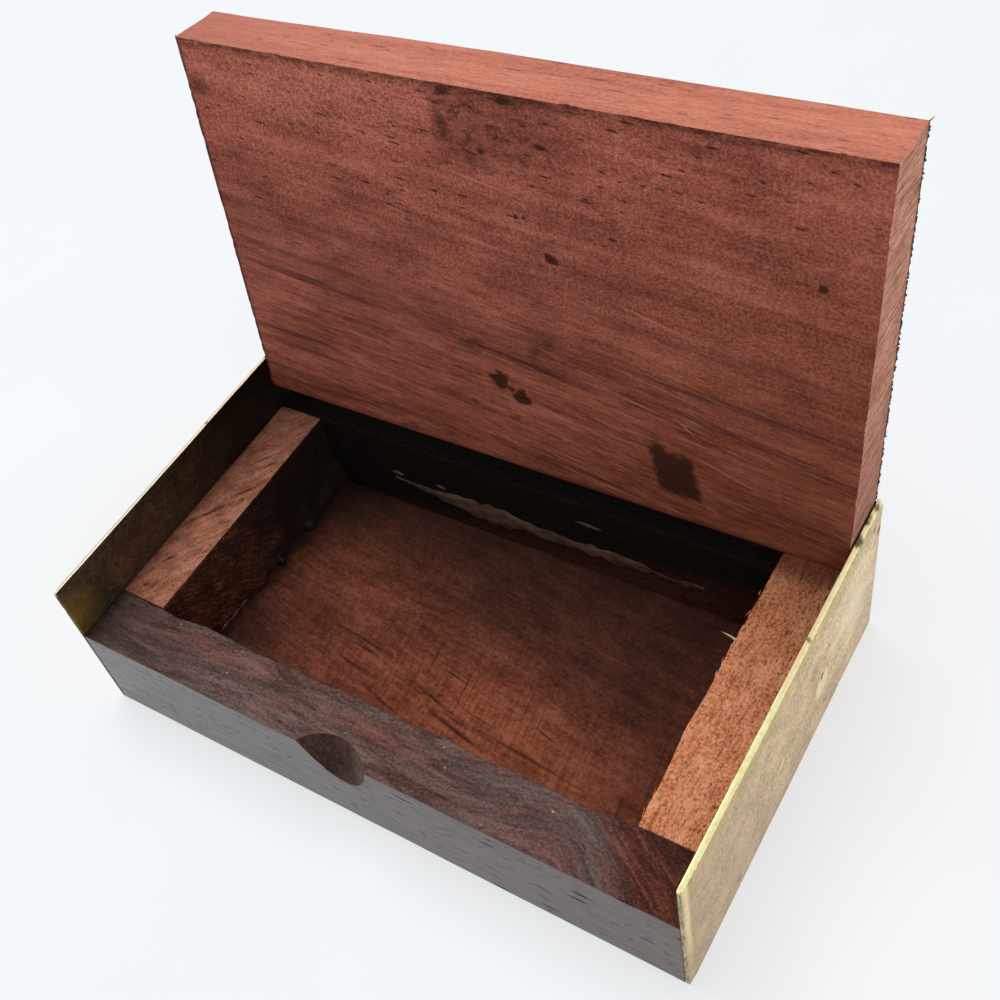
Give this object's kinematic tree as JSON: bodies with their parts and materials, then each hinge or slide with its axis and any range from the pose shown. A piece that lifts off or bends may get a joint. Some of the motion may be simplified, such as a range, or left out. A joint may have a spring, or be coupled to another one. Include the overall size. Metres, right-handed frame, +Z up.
{
  "type": "trinket box",
  "caption": "Rectangular hardwood trinket box with brass side plates, a thumb notch in its front rail, and a thick lid that turns on flush brass pins at the back.",
  "frame": {"origin": "middle of the underside, on the surface that the box stands on", "axes": "+X to the right along the box, +Y to the back where the lid pivots, +Z up"},
  "size_m": [0.13, 0.0875, 0.1077],
  "materials": {
    "dark_rail_wood": "sawn and lightly sanded dark rosewood",
    "end_block_wood": "sawn open-pored hardwood",
    "floor_wood": "sawn reddish hardwood with saw marks",
    "lid_wood": "sawn reddish hardwood",
    "plate_brass": "sanded satin",
    "pin_brass": "filed flush"
  },
  "bodies": {
    "box": {"front_rail": "dark_rail_wood", "back_rail": "dark_rail_wood", "left_end_block": "end_block_wood", "right_end_block": "end_block_wood", "bottom_panel": "floor_wood", "left_side_plate": "plate_brass", "right_side_plate": "plate_brass", "left_front_fixing_pin": "pin_brass", "left_rear_fixing_pin": "pin_brass", "right_front_fixing_pin": "pin_brass", "right_rear_fixing_pin": "pin_brass"},
    "lid": {"lid": "lid_wood", "left_pivot_pin": "pin_brass", "right_pivot_pin": "pin_brass"}
  },
  "joints": [
    {"name": "lid_hinge", "type": "hinge", "parent": "box", "child": "lid", "pos_m": [0, 0.0361, 0.0311], "axis": [1, 0, 0], "range_deg": [-105, 96]}
  ]
}
